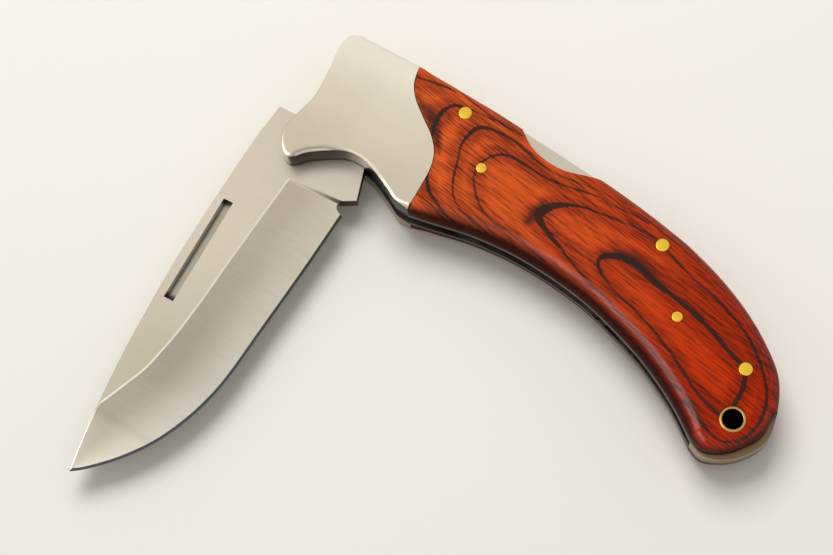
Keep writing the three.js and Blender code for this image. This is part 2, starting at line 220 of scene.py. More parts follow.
# Brushed steel with fine streaks: near the pivot one colour and far along the blade another, which takes over
# in the millimetres of spread; where the two differ they are painted light along the blade. The two colours
# after them, if given, are for the ground face at its cutting edge: painted light on the ground face and
# painted shade on the plunge ramp.
def makeSteel(name, near, far, lines, amount, roughness, strength=0.1, edgePaintedLight=None, spread=(16, 62)):
    steel = Finish(bpy.data.materials.new(name))
    reach = (0 - steel.measure(1)).fade(*spread)
    colour = steel.mix(reach, near, far)
    if edgePaintedLight:
        share = steel.mark("grindShare").fade(0.2, 1.0)
        colour = steel.mix(share, colour, steel.mix(reach, *edgePaintedLight))
    brush = steel.noise(steel.place(lines), 3.0, 0.6)
    cloud = steel.noise(steel.place((0.07, 0.07, 0.07)), 2.0)
    mark = 1 - (brush * 0.6 + cloud * 0.4).fade(0.3, 0.7)
    colour = steel.mix(mark * amount, colour, paint(128, 118, 102))
    return steel.surface(
        Base_Color=colour,
        Metallic=1.0,
        Roughness=roughness + 0.5 * amount * (brush - 0.5),
        Normal=steel.relief(brush, 0.01, strength),
    )


# Steel or brass of one colour
def makeMetal(name, tone, lines, amount, roughness):
    return makeSteel(name, tone, tone, lines, amount, roughness)


# Nickel silver: smooth, with painted light making it lighter towards the spine, and a painted dark reflection
# as a line inside the polished edge of the groove
def makeNickel():
    nickel = Finish(bpy.data.materials.new("nickelSilver"))
    cloud = nickel.noise(nickel.place((0.07, 0.1, 0.1)), 2.0)
    rise = nickel.measure(1) + (cloud - 0.5) * 8
    rim = nickel.mark("rim")
    colour = nickel.mix(rise.fade(-13, -2), paint(194, 182, 163), paint(209, 197, 176))
    colour = nickel.mix(rise.fade(-2, 12), colour, paint(228, 219, 203))
    paintedDarkReflection = rim.fade(0.25, 0.5) * (1 - rim.fade(0.5, 1.3))
    colour = nickel.mix(paintedDarkReflection * 0.7, colour, paint(122, 114, 104))
    return nickel.surface(Base_Color=colour, Metallic=1.0, Roughness=0.3 + 0.04 * (cloud - 0.5))


# Nail nick: grey sides, with painted shade making them darker towards the bottom of the groove and dark at
# both its ends
def makeNickSteel(middle, reach, bottom, deep):
    steel = Finish(bpy.data.materials.new("nickSteel"))
    cloud = steel.noise(steel.place((2.0, 0.5, 1.0)), 2.0)
    end = ((steel.measure(1) - middle).sum("ABSOLUTE") + cloud).fade(reach - 0.6, reach + 0.4)
    creaseShade = 1 - (steel.measure(2) - bottom + (cloud - 0.5) * 0.3).fade(0, deep)
    sides = steel.mix(creaseShade, paint(156, 150, 135), paint(100, 95, 82))
    colour = steel.mix(end * 0.92, sides, paint(26, 24, 18))
    return steel.surface(Base_Color=colour, Metallic=0.25, Roughness=0.5, Specular_IOR_Level=0.1)


# Streaks along x, y and z, per millimetre: few along the streak and many across it
streaks = {
    "flat": (0.25, 5.0, 2.0),
    "ground": (0.12, 6.0, 2.0),
    "edge": (1.5, 3.0, 2.0),
    "none": (1, 1, 1),
    "spring": (0.3, 5.0, 5.0),
    "plate": (0.3, 3.0, 6.0),
    "wall": (0.3, 3.0, 3.0),
    "brass": (2.0, 2.0, 2.0),
}
wood = makeWood()
# Painted light: the flats and the ground face are lighter near the pivot than towards the tip, and the ground
# face lighter at its cutting edge than at the grind line
bladeFlat = makeSteel("bladeFlat", paint(200, 188, 171), paint(162, 155, 137), streaks["flat"], 0.08, 0.34,
                      spread=(26, 70))
groundEdgePaintedLight = (paint(197, 187, 168), paint(190, 183, 169))
bladeGround = makeSteel("bladeGround", paint(183, 170, 153), paint(150, 143, 129), streaks["ground"], 0.2,
                        0.33, 0.2, groundEdgePaintedLight)
# Painted reflection: the edge bevel is painted near black, turning lighter grey-blue towards the tip
bladeEdgeDarkReflection = makeSteel("bladeEdgeDarkReflection", paint(54, 54, 54), paint(72, 76, 80), streaks["edge"], 0.1, 0.22)
# Painted highlight: a light line along the grind edge
grindEdgeHighlight = makeSteel("grindEdgeHighlight", paint(212, 203, 188), paint(204, 199, 186), streaks["none"], 0.0, 0.3)
# Painted shade: the plunge ramp is painted dark towards the cutting edge
plungeTone, plungeEdgeShade = paint(180, 168, 152), paint(56, 52, 54)
plungeSteel = makeSteel("plungeSteel", plungeTone, plungeTone, streaks["none"], 0.0, 0.4,
                        edgePaintedLight=(plungeEdgeShade, plungeEdgeShade))
# Painted shade: the walls of the tang on the edge side are painted dark brown
tangWallShade = makeMetal("tangWallShade", paint(66, 54, 42), streaks["none"], 0.0, 0.4)
springSteel = makeMetal("springSteel", paint(204, 194, 177), streaks["spring"], 0.12, 0.34)
# Painted shade and reflection: the back spring's walls are a darker, browner copy of its steel
buttShadeSteel = makeMetal("buttShadeSteel", paint(166, 146, 118), streaks["plate"], 0.15, 0.36)
# Painted shade and reflection: the liners' steel is painted brownish, with darker copies for the face the
# wood bares at the butt, for the walls, and, near black, for the slot and the lanyard bore
linerSteel = makeMetal("linerSteel", paint(150, 130, 98), streaks["plate"], 0.15, 0.36)
bareShadeSteel = makeMetal("bareShadeSteel", paint(114, 94, 70), streaks["plate"], 0.15, 0.4)
wallShadeSteel = makeMetal("wallShadeSteel", paint(94, 78, 72), streaks["plate"], 0.2, 0.34)
# Painted shade: a dark copy of the nickel silver for the upper bolster's belly-side walls and a greyer one
# for the lower's
bolsterWallShade = makeMetal("bolsterWallShade", paint(40, 34, 34), streaks["wall"], 0.05, 0.3)
lowerWallShade = makeMetal("lowerWallShade", paint(150, 140, 122), streaks["wall"], 0.05, 0.25)
slotShadeSteel = makeMetal("slotShadeSteel", paint(28, 26, 25), streaks["wall"], 0.05, 0.5)
nickelSilver = makeNickel()
brass = makeMetal("polishedBrass", paint(222, 183, 54), streaks["brass"], 0.1, 0.4)
tubeBrass = makeMetal("tubeBrass", paint(180, 138, 80), streaks["brass"], 0.1, 0.34)
print("materials made")


# A smooth line through these points, with a point about every step
def lineThrough(points, step=0.5):
    marks = [Vector(p) for p in points]
    line = []
    for i in range(len(marks) - 1):
        before = marks[max(i - 1, 0)]
        start, stop = marks[i], marks[i + 1]
        after = marks[min(i + 2, len(marks) - 1)]
        count = max(2, round((stop - start).length / step))
        for k in range(count):
            t = k / count
            square = (2 * before - 5 * start + 4 * stop - after) * t * t
            cube = (3 * start - before - 3 * stop + after) * t * t * t
            line.append(0.5 * (2 * start + (stop - before) * t + square + cube))
    return line + [marks[-1]]


def arc(centre, radius, start, stop, count):
    angles = [math.radians(start + (stop - start) * i / count) for i in range(count + 1)]
    return [Vector((centre[0] + radius * math.cos(a), centre[1] + radius * math.sin(a))) for a in angles]


handle = {
    "spine": [(8, 13.3), (20.5, 12.9), (31, 12.1), (51.4, 9.9), (65.9, 7.7), (72.9, 5.8), (79.3, 3.4),
              (85.6, 0.2), (90.5, -3.3), (94.5, -6.9), (96.7, -10.3), (98.1, -13.9)],
    "butt": [(98.1, -13.9), (98.78, -17.3), (98.5, -19.5), (97.4, -21.6), (95.6, -23.9), (93.4, -25.6),
             (91.3, -26.5), (89.4, -26.7), (87.8, -26.1), (86.6, -25.4)],
    "buttBare": 1.1,
    "belly": [(86.6, -25.4), (81.2, -21.5), (75.9, -18.5), (70.8, -16.1), (63.9, -13.7), (57.5, -11.9),
              (50.6, -10.8), (44.4, -10.3), (38.8, -10.3), (32.2, -10.9), (25, -12.3), (20.5, -13.1)],
    "groove": [(20.5, -13.1), (17.6, -12.8), (14.9, -11.4), (10.2, -9.2), (6.4, -8.6), (3.2, -9.4),
               (-1.4, -12.3), (-3.2, -14.2)],
    "guard": [(-3.2, -14.2), (-4.6, -15.1), (-6.3, -14.4), (-8, -12), (-8.4, -9.6), (-7.7, -6.4),
              (-6.8, -1.6), (-7.2, 3.9), (-7.8, 8), (-7.9, 10.6), (-7.2, 12.4), (-5.6, 13.3)],
    "joint": [(20.7, -14.2), (20.6, -8.1), (20.3, -4), (19.2, -0.8), (16.9, 1.9), (13.6, 4.4), (10.5, 7),
              (8.6, 9.8), (7.6, 14.3)],
    "scallop": [(30.9, 12), (32.4, 10.5), (35.2, 8.7), (38.6, 7.8), (42.1, 7.7), (45.5, 8.5), (49.6, 10)],
    "scallopMouth": [(30.6, 16.3), (51, 16.3)],
    "jointGap": 0.16,
    "jointAcross": (0.85, 0.53),
    "jointFoot": 20.6,
    "rows": (-26.5, 13.3),
}
spineLine = lineThrough(handle["spine"])
buttLine = lineThrough(handle["butt"])[1:-1]
bellyLine = lineThrough(handle["belly"])
grooveLine = lineThrough(handle["groove"], 0.4)
guardLine = lineThrough(handle["guard"], 0.3)
jointLine = lineThrough(handle["joint"], 0.4)
lanyard = {"place": (91.8, -19.4), "outer": 4.9, "bore": 3.6, "rim": 0.3, "proud": 0.06}


# Round the butt the wood is drawn in towards the lanyard tube, and bares a band of metal
def drawnIn(line):
    moved = []
    for i, p in enumerate(line):
        share = ((i + 1) / (len(line) + 1)) ** 0.6
        inward = (Vector(lanyard["place"]) - p).normalized()
        moved.append(p + inward * handle["buttBare"] * math.sin(math.pi * share))
    return moved


metalOutline = spineLine + buttLine + bellyLine[:-1] + grooveLine[:-1] + guardLine
gripOutline = spineLine + drawnIn(buttLine) + bellyLine[:-1] + grooveLine[:-1] + guardLine

# Rounding of the outer edge, in millimetres: (x, radius) along each part of the outline
rounding = {
    "spine": [(7, 0.5), (10, 1.3), (20.5, 2.2), (31, 2.4), (51, 2.2), (58, 2.6), (66, 3.4), (86, 3.4),
              (90, 2.8), (97, 2.2)],
    "butt": [(86, 2.4), (90, 1.6), (96, 1.6), (98.5, 2.2)],
    "belly": [(20.5, 2.0), (24, 2.9), (42, 3.3), (76, 3.4), (84, 3.2), (88, 2.4)],
    "groove": [(-4, 0.4), (12, 0.36), (18, 0.5), (20.5, 1.2)],
    "guard": [(-9, 0.4), (-5, 0.5), (-3, 0.45)],
    "steepness": 1.14,
    "domeDepth": 0.12,
    "domeReach": 9.0,
    "margin": 0.04,
    "rings": (0.02, 0.05, 0.14, 0.24, 0.35, 0.4),
}


def radiiAlong(part, line):
    places, radii = zip(*rounding[part])
    return [float(np.interp(p.x, places, radii)) for p in line]


outlineRadii = np.array(
    radiiAlong("spine", spineLine) + radiiAlong("butt", buttLine) + radiiAlong("belly", bellyLine[:-1])
    + radiiAlong("groove", grooveLine[:-1]) + radiiAlong("guard", guardLine))

# How much painted shade the rounded edge gets, and gloss on the ridge above it: hardly along the spine, and
# fully from the butt on
outlineShade = np.ones(len(gripOutline))
outlineShade[:len(spineLine)] = np.interp([p.x for p in spineLine], [84, 98], [0.15, 0.8])


# Distance from each point to a line, and the value along the line at the nearest place
def nearest(points, line, values, closed=False):
    start = np.array([(p[0], p[1]) for p in line])
    ends = np.roll(start, -1, axis=0), np.roll(values, -1)
    count = len(start) if closed else len(start) - 1
    start, first = start[:count], np.asarray(values)[:count]
    span, change = ends[0][:count] - start, ends[1][:count] - first
    length = (span ** 2).sum(1)
    gaps, found = [], []
    for part in np.array_split(points, max(1, len(points) // 2000)):
        away = part[:, None, :] - start[None, :, :]
        share = np.clip((away * span).sum(2) / length, 0, 1)
        gap = np.linalg.norm(away - share[:, :, None] * span, axis=2)
        best = gap.argmin(1)
        rows = np.arange(len(part))
        gaps.append(gap[rows, best])
        found.append(first[best] + share[rows, best] * change[best])
    return np.concatenate(gaps), np.concatenate(found)


# Height of the outer face over each point of the handle
def faceHeights(points):
    gap, radius = nearest(points, gripOutline, outlineRadii, closed=True)
    inside = np.clip(gap, 0, radius)
    edgeDrop = radius - np.sqrt(np.maximum(radius ** 2 - (radius - inside) ** 2, 0))
    domeDrop = rounding["domeDepth"] * (1 - np.clip(gap / rounding["domeReach"], 0, 1)) ** 2
    return total - rounding["margin"] - rounding["steepness"] * edgeDrop - domeDrop


def faceHeight(x, y):
    return float(faceHeights(np.array([(x, y)], float))[0])


# Plain mesh tools, all in millimetres
def flatFace(bm, outline, height):
    return bm.faces.new([bm.verts.new((p[0], p[1], height)) for p in outline])


def thicken(bm, face, height):
    grown = bmesh.ops.extrude_face_region(bm, geom=[face])["geom"]
    verts = [g for g in grown if isinstance(g, bmesh.types.BMVert)]
    bmesh.ops.translate(bm, verts=verts, vec=(0, 0, height))
    return next(g for g in grown if isinstance(g, bmesh.types.BMFace))


def block(bm, outline, bottom, top):
    return thicken(bm, flatFace(bm, outline, bottom), top - bottom)


def roundBlock(bm, place, diameter, bottom, top, sides=64):
    block(bm, arc(place, diameter / 2, 0, 360 - 360 / sides, sides - 1), bottom, top)


# Takes the cutter out of the object, or joins it
def carve(piece, cutter, operation="DIFFERENCE"):
    tool = meshObject(cutter, "cutter")
    cut = piece.modifiers.new("cut", "BOOLEAN")
    cut.operation = operation
    cut.solver = "EXACT"
    cut.object = tool
    shaped = bpy.data.meshes.new_from_object(piece.evaluated_get(bpy.context.evaluated_depsgraph_get()))
    piece.modifiers.clear()
    piece.data = shaped
    bpy.data.objects.remove(tool)


def meshObject(bm, name):
    bmesh.ops.recalc_face_normals(bm, faces=bm.faces)
    mesh = bpy.data.meshes.new(name)
    bm.to_mesh(mesh)
    bm.free()
    piece = bpy.data.objects.new(name, mesh)
    bpy.context.scene.collection.objects.link(piece)
    bpy.context.view_layer.update()
    return piece


# Softens the sharp edges that the test picks
def soften(piece, pick, width, segments=2):
    bm = bmesh.new()
    bm.from_mesh(piece.data)
    bmesh.ops.remove_doubles(bm, verts=bm.verts, dist=weld)
    bmesh.ops.dissolve_limit(bm, angle_limit=math.radians(0.2), verts=bm.verts, edges=bm.edges,
                             delimit={"MATERIAL"})
    sharp = [e for e in bm.edges if len(e.link_faces) == 2 and e.calc_face_angle() > math.radians(40)]
    bmesh.ops.bevel(bm, geom=[e for e in sharp if pick(e)], offset=width, offset_type="OFFSET",
                    segments=segments, profile=0.5, affect="EDGES", material=-1, clamp_overlap=True)
    bm.to_mesh(piece.data)
    bm.free()


# Brings a piece to metres, gives it its materials and body, and hides the CAD node that it replaces
def finishPiece(piece, body, materials, node, sharp=32):
    piece.data.transform(Matrix.Scale(mm, 4))
    piece.data.materials.clear()
    for material in materials:
        piece.data.materials.append(material)
    for face in piece.data.polygons:
        face.use_smooth = True
    piece.data.set_sharp_from_angle(angle=math.radians(sharp))
    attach(piece, body)
    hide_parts(node)


# Gives each face the one of the piece's materials that the choice returns for it
def sortFaces(piece, choose):
    materials = list(piece.data.materials)
    for face in piece.data.polygons:
        face.material_index = materials.index(choose(face))


# The same piece on the lower side, turned about the middle of the thickness
def underside(piece, name):
    twin = piece.copy()
    twin.data = piece.data.copy()
    twin.name = name
    bpy.context.scene.collection.objects.link(twin)
    twin.data.transform(Matrix.Translation((0, 0, total)) @ Matrix.Scale(-1, 4, (0, 0, 1)))
    twin.data.flip_normals()
    return twin


# Cuts faces into strips at these places along one axis, with edges and points in a fixed order
def cutAcross(bm, faces, axis, places):
    rest, done = list(faces), []
    normal = Vector((0, 0, 0))
    normal[axis] = 1
    for place in places:
        edges = dict.fromkeys(e for f in rest for e in f.edges)
        verts = dict.fromkeys(v for f in rest for v in f.verts)
        cut = bmesh.ops.bisect_plane(bm, geom=[*rest, *edges, *verts], plane_co=normal * place,
                                     plane_no=normal, dist=1e-5)
        now = [g for g in cut["geom"] if isinstance(g, bmesh.types.BMFace)]
        rest = [f for f in now if f.calc_center_median()[axis] > place]
        done += [f for f in now if f.calc_center_median()[axis] <= place]
    return done + rest


# The points of a piece, one row of x, y and z for each
def spotsOf(piece):
    spots = np.empty(len(piece.data.vertices) * 3)
    piece.data.vertices.foreach_get("co", spots)
    return spots.reshape(-1, 3)


# Slab as wide as the handle with a rounded and slightly domed outer face
def gripBlank(name, cell, reach):
    bm = bmesh.new()
    top = block(bm, gripOutline, layers["linerTop"], total)
    for ring in rounding["rings"]:
        bmesh.ops.inset_region(bm, faces=[top], thickness=ring, use_even_offset=True)
    strips = cutAcross(bm, [top], 0, np.arange(*reach, cell))
    cutAcross(bm, strips, 1, np.arange(*handle["rows"], cell))
    blank = meshObject(bm, name)
    spots = spotsOf(blank)
    outer = spots[:, 2] > total - 0.001
    spots[outer, 2] = faceHeights(spots[outer, :2])
    blank.data.vertices.foreach_set("co", spots.ravel())
    blank.data.update()
    return blank


# All that lies on one side of the joint, with half of the gap
def beyondJoint(side):
    far, below = side * 150, -60
    acrossX, acrossY = handle["jointAcross"]
    shift = -side * handle["jointGap"] / 2
    line = [(p.x + acrossX * shift, p.y + acrossY * shift) for p in jointLine]
    return [*line, (far, handle["joint"][-1][1]), (far, below), (line[0][0], below)]


# Values that the points of a piece carry, for its material
def markPoints(piece, name, values):
    marks = piece.data.attributes.new(name, "FLOAT", "POINT")
    marks.data.foreach_set("value", values)


# How far each point of a piece lies from the nearest of these lines, given as x, y and width
def markReach(piece, name, lines):
    spots = spotsOf(piece)[:, :2]
    reach = np.full(len(spots), 9.0)
    for points in lines.values():
        line = lineThrough(points, 0.6)
        gap, width = nearest(spots, line, np.array([p.z for p in line]))
        reach = np.minimum(reach, gap - width / 2)
    markPoints(piece, name, reach)


# Painted shade weight of each point, taken from the outline; it also weighs the ridge gloss
def markFlankShade(piece):
    _, shade = nearest(spotsOf(piece)[:, :2], gripOutline, outlineShade, closed=True)
    markPoints(piece, "flankShadeAndGloss", shade)


# Bolsters: the painted dark reflection inside the groove thins out from one place to another behind the pivot
bolsterMake = {"cell": 0.4, "reach": (-8.8, 22), "darkReflectionFull": 1, "darkReflectionGone": 7, "darkReflectionFall": 0.5}
bolster = gripBlank("upperBolster", bolsterMake["cell"], bolsterMake["reach"])
cutter = bmesh.new()
block(cutter, beyondJoint(1), *through)
carve(bolster, cutter)
darkReflectionLine = [(p.x, p.y, min(bolsterMake["darkReflectionFull"] - p.x, 0) * bolsterMake["darkReflectionFall"])
            for p in grooveLine if p.x < bolsterMake["darkReflectionGone"]]
markReach(bolster, "rim", {"groove": darkReflectionLine})
lowerBolster = underside(bolster, "lowerBolster")


# Painted shade: walls that face the belly side get the wall copy of the nickel silver
def bolsterFinish(wall):
    return lambda face: wall if abs(face.normal.z) < 0.3 and face.normal.y < -0.1 else nickelSilver


bolsters = ((bolster, "bolster_upper", bolsterWallShade), (lowerBolster, "bolster_lower", lowerWallShade))
for piece, node, wall in bolsters:
    finishPiece(piece, "handle", [nickelSilver, wall], node)
    sortFaces(piece, bolsterFinish(wall))
print("bolsters made")

pins = {
    "rocker": {"place": (20.3, 8.9), "diameter": 2.5, "node": "rocker_pin"},
    "springFront": {"place": (65.3, 3.6), "diameter": 2.5, "node": "spring_pin_front"},
    "springRear": {"place": (89.5, -10.0), "diameter": 2.5, "node": "spring_pin_rear"},
    "scaleFront": {"place": (28.6, 0.6), "diameter": 2.0, "end": "front"},
    "scaleRear": {"place": (74.2, -7.3), "diameter": 2.0, "end": "rear"},
    "fit": 0.03,
    "proud": 0.02,
    "rim": 0.1,
}
throughPins = ("rocker", "springFront", "springRear")
scalePins = ("scaleFront", "scaleRear")


# A line beside the spine, this deep inside it, from this station on: x, y and width
def besideSpine(depth, start, width):
    picked = [p for p in spineLine if p.x > start][::6]
    return [(a.x + (b - a).normalized().y * depth, a.y - (b - a).normalized().x * depth, width)
            for a, b in zip(picked, picked[1:])]


# Dark layers of the laminate where they come to the surface: x, y and width in millimetres
darkLayers = {
    "spineFirst": besideSpine(1.2, 50, 0.16),
    "spineSecond": besideSpine(2.0, 54, 0.22),
    "spineThird": besideSpine(2.9, 66, 0.12),
    "spineFront": [(7, 10.5, 0.3), (12.5, 11.5, 0.5), (17.5, 12, 0.35), (21, 11.5, 0.3), (25, 10.6, 0.4),
                   (32, 10, 0.4)],
    "behindJoint": [(17.5, 1, 0.3), (16.7, 3.2, 0.8), (16.3, 5.5, 1.1), (16.6, 7.6, 0.9), (18, 9.3, 0.6),
                    (21, 10, 0.35), (26, 10.2, 0.25)],
    "scallopLoop": [(52.7, 7.3, 0.1), (48.5, 7.2, 0.2), (44.2, 6.6, 0.25), (40.9, 6.4, 0.3), (38, 6.8, 0.3),
                    (34.5, 7.5, 0.4), (31.4, 8.3, 0.5), (28, 8.5, 0.65), (25.2, 8.1, 0.8), (23.7, 7, 0.9),
                    (23.1, 4.8, 0.7), (23, 2.6, 0.5), (23.9, 0, 0.45), (25, -3.5, 0.5), (26.4, -6.2, 0.45),
                    (28.3, -8, 0.4), (31, -9, 0.35), (37.7, -10, 0.25)],
    "middleLoop": [(64, 6.5, 0.25), (54, 6, 0.3), (50.5, 6.2, 0.35), (44, 5.1, 0.4), (40, 4.7, 0.45),
                   (37, 5, 0.6), (33.4, 5.3, 0.7), (31, 5, 0.6), (29.2, 3.6, 0.5), (28.2, 1.8, 0.45),
                   (28.1, -1, 0.4), (29, -2.8, 0.4), (31, -5.1, 0.5), (34, -7, 0.4), (41, -8.2, 0.3),
                   (49, -9.6, 0.2)],
    "rearLoop": [(49, -6.3, 0.4), (46.5, -5, 0.7), (44, -3.7, 1.3), (42.6, -2.4, 1.9), (43.2, -0.6, 1.8),
                 (45, 1.2, 1.2), (48, 2.7, 0.6), (52, 3.4, 0.45), (60, 4.2, 0.45), (65, 3.6, 0.45),
                 (72, 1, 0.45), (80, -1.3, 0.5), (87.5, -4.7, 0.6), (93, -9.7, 0.65), (95.6, -14, 0.7),
                 (96, -19, 0.6), (93.8, -23, 0.5), (90, -23.8, 0.45), (82.5, -20.5, 0.35)],
    "bellyFront": [(20.6, -6, 0.8), (22, -7.8, 0.8), (24, -9.2, 0.6), (27.5, -10.6, 0.4), (31, -11, 0.3)],
    "core": [(90.8, -17, 0.9), (90.6, -13, 1.0), (89, -10, 0.9), (86, -8.8, 0.9), (79, -6, 1.0),
             (72, -4.2, 1.0), (68.5, -3.7, 1.1), (65, -2.7, 1.3), (62, -2.1, 1.4), (59, -2.5, 1.3),
             (57.1, -3.6, 1.0), (56.6, -5, 0.8), (58, -6.6, 0.6), (62, -8.5, 0.45), (70, -11, 0.5),
             (77.5, -14.5, 0.55), (84, -18.2, 0.6), (89, -19.8, 0.7)],
    "belly": [(46.5, -4.6, 0.5), (49, -5.9, 0.5), (52.5, -7.6, 0.5), (57, -9.3, 0.45), (61.7, -10.6, 0.35),
              (73, -15, 0.32), (82, -19.6, 0.32), (89, -23.2, 0.32)],
}

# Places where dark grain lines crowd together
darkSmears = {
    "joint": [(10.6, 7.6, 0.2), (12.6, 6.2, 1.4), (14.6, 5.4, 2.4), (16.7, 3.8, 2.2), (18.3, 1.6, 1.4),
              (20.2, -0.6, 0.3)],
    "rearTip": [(41.5, -4.6, 1.2), (41.8, -2.4, 2.2), (42.4, -0.4, 1.6)],
    "coreTip": [(57, -3.4, 1.0), (58.5, -2.4, 1.6), (62, -1.6, 2.2), (66, -2.4, 1.8), (70, -3.6, 1.0)],
}


# The thumb scallop in the spine, for the wood and the liners alike
def addScallop(cutter):
    front, rear = handle["scallopMouth"]
    block(cutter, [front, *lineThrough(handle["scallop"], 0.3), rear], *through)


# Scales
scaleMake = {"cell": 0.22, "reach": (7.5, 98)}
scale = gripBlank("upperScale", scaleMake["cell"], scaleMake["reach"])
cutter = bmesh.new()
block(cutter, beyondJoint(-1), *through)
addScallop(cutter)
for name in throughPins + scalePins:
    roundBlock(cutter, pins[name]["place"], pins[name]["diameter"] + 2 * pins["fit"], *through)
roundBlock(cutter, lanyard["place"], lanyard["outer"] + 2 * pins["fit"], *through)
carve(scale, cutter)
markReach(scale, "figure", darkLayers)
markReach(scale, "smear", darkSmears)
markFlankShade(scale)
lowerScale = underside(scale, "lowerScale")
finishPiece(scale, "handle", [wood], "scale_upper")
finishPiece(lowerScale, "handle", [wood], "scale_lower")
print("scales made")


# Pins: turned brass with a rounded rim, filed flush with the wood
def makePin(name, pin, bottom, top, node):
    bm = bmesh.new()
    roundBlock(bm, pin["place"], pin["diameter"], bottom, top)
    piece = meshObject(bm, name)
    soften(piece, lambda edge: True, pins["rim"], 3)
    finishPiece(piece, "handle", [brass], node, 60)


for name in throughPins:
    pin = pins[name]
    top = faceHeight(*pin["place"]) + pins["proud"]
    makePin(name + "Pin", pin, total - top, top, pin["node"])
for name in scalePins:
    pin = pins[name]
    top = faceHeight(*pin["place"]) + pins["proud"]
    makePin(name + "UpperPin", pin, layers["slotTop"], top, "scale_pin_upper_" + pin["end"])
    makePin(name + "LowerPin", pin, total - top, layers["slotBottom"], "scale_pin_lower_" + pin["end"])

# Lanyard tube: its wall is spun round, with rounded rims
bm = bmesh.new()
tubeTop = faceHeight(*lanyard["place"]) + lanyard["proud"]
inner, outer = lanyard["bore"] / 2, lanyard["outer"] / 2
rim = lanyard["rim"]
high, low = tubeTop - rim, total - tubeTop + rim
profile = [
    (outer, low), (outer, high),
    *arc((outer - rim, high), rim, 15, 75, 4),
    *arc((inner + rim, high), rim, 105, 165, 4),
    (inner, high), (inner, low),
    *arc((inner + rim, low), rim, 195, 255, 4),
    *arc((outer - rim, low), rim, 285, 345, 4),
]
wall = [bm.verts.new((lanyard["place"][0] + r, lanyard["place"][1], z)) for r, z in profile]
ring = [bm.edges.new((wall[i], wall[(i + 1) % len(wall)])) for i in range(len(wall))]
axisPoint = (*lanyard["place"], 0)
bmesh.ops.spin(bm, geom=[*wall, *ring], cent=axisPoint, axis=(0, 0, 1), angle=math.tau, steps=72,
               use_merge=True)
tube = meshObject(bm, "lanyardTube")
finishPiece(tube, "handle", [tubeBrass, slotShadeSteel], "lanyard_tube", 50)


# The bore gets painted shade, up to where its rim turns outwards
def tubeFinish(face):
    away = Vector(face.center[:2]) / mm - Vector(lanyard["place"])
    return slotShadeSteel if away.length < inner + 0.16 and abs(face.normal.z) < 0.85 else tubeBrass


sortFaces(tube, tubeFinish)
print("pins and tube made")

# Liners, lock bar and back spring: plates with fine rounded edges
plates = {
    "edge": 0.04,
    "pinFit": 0.05,
    "barProud": 0.6,
    "buttRound": 0.6,
    "pivot": 4.0,
    "rivet": 1.8,
    "rivets": [(-2.6, 8.6), (12.4, -6.2)],
}


def plateHoles(cutter, holes):
    for place, diameter in holes:
        roundBlock(cutter, place, diameter + 2 * plates["pinFit"], *through, 48)


# Outer edge of the metal that the wood leaves bare round the butt
def onButt(edge):
    ends = [v.co for v in edge.verts]
    gap, _ = nearest(np.array([(v.x, v.y) for v in ends]), buttLine, np.zeros(len(buttLine)))
    return all(v.z > layers["linerTop"] - 0.01 for v in ends) and gap.max() < 0.05


# inner says which way the liner's inner face looks: -1 is down, as on the upper liner, and 1 is up
# Painted shade: faces looking into the slot, the walls and the face bared at the butt get darker copies of
# the liner steel
def linerFinish(inner):
    def choose(face):
        facing = face.normal.z * inner
        if facing < -0.97:
            return bareShadeSteel
        if abs(facing) < 0.5:
            return slotShadeSteel if face.center.x < handle["jointFoot"] * mm else wallShadeSteel
        return slotShadeSteel if facing > 0.5 else linerSteel
    return choose


pinHoles = [(pins[name]["place"], pins[name]["diameter"]) for name in throughPins + scalePins]
tubeHole = (lanyard["place"], lanyard["outer"])
rivetHoles = [(place, plates["rivet"]) for place in plates["rivets"]]
bm = bmesh.new()
block(bm, metalOutline, layers["slotTop"], layers["linerTop"])
liner = meshObject(bm, "upperLiner")
cutter = bmesh.new()
addScallop(cutter)
plateHoles(cutter, [*pinHoles, tubeHole, ((0, 0), plates["pivot"]), *rivetHoles])
carve(liner, cutter)
soften(liner, onButt, plates["buttRound"], 5)
soften(liner, lambda edge: edge.calc_length() > 0.1, plates["edge"])
lowerLiner = underside(liner, "lowerLiner")
for piece, node, inner in ((liner, "liner_upper", -1), (lowerLiner, "liner_lower", 1)):
    finishPiece(piece, "handle", [linerSteel, wallShadeSteel, slotShadeSteel, bareShadeSteel], node)
    sortFaces(piece, linerFinish(inner))


def spineAt(x):
    return float(np.interp(x, [p.x for p in spineLine], [p.y for p in spineLine]))


def spineBetween(start, stop, lift):
    stations = [start, *(p.x for p in spineLine if start < p.x < stop), stop]
    return [(x, spineAt(x) + lift) for x in stations]


lock = {
    "hookReach": 5.3,
    "hookWidth": 2.6,
    "tangRadius": 7.0,
    "drop": 0.85,
    "runningGap": 0.12,
    "kickGap": 0.35,
    "kickReach": (-15.1, -10.2),
    "tailReach": 50.0,
    "tailDepth": 5.5,
    "tailGap": 0.4,
    "leafDrop": 0.9,
    "leafThickness": 1.3,
    "leafTip": 38.0,
    "leafRise": 0.4,
    "underPin": 1.25,
    "pinPlay": 0.1,
}
hookFront = -lock["hookReach"]
hookBack = hookFront + lock["hookWidth"]
hookBottom = math.sqrt((lock["tangRadius"] + 1.5 * lock["runningGap"]) ** 2 - hookBack ** 2)
barUnder = lock["tangRadius"] + lock["drop"] + lock["runningGap"]
rockerX, rockerY = pins["rocker"]["place"]
pinRadius = pins["rocker"]["diameter"] / 2 + lock["pinPlay"]
barLow = rockerY - pinRadius - lock["underPin"]
bumpFront = math.sqrt((math.hypot(*lock["kickReach"]) + lock["kickGap"]) ** 2 - barLow ** 2)
tailUnder = spineAt(lock["tailReach"]) + plates["barProud"] - lock["tailDepth"]
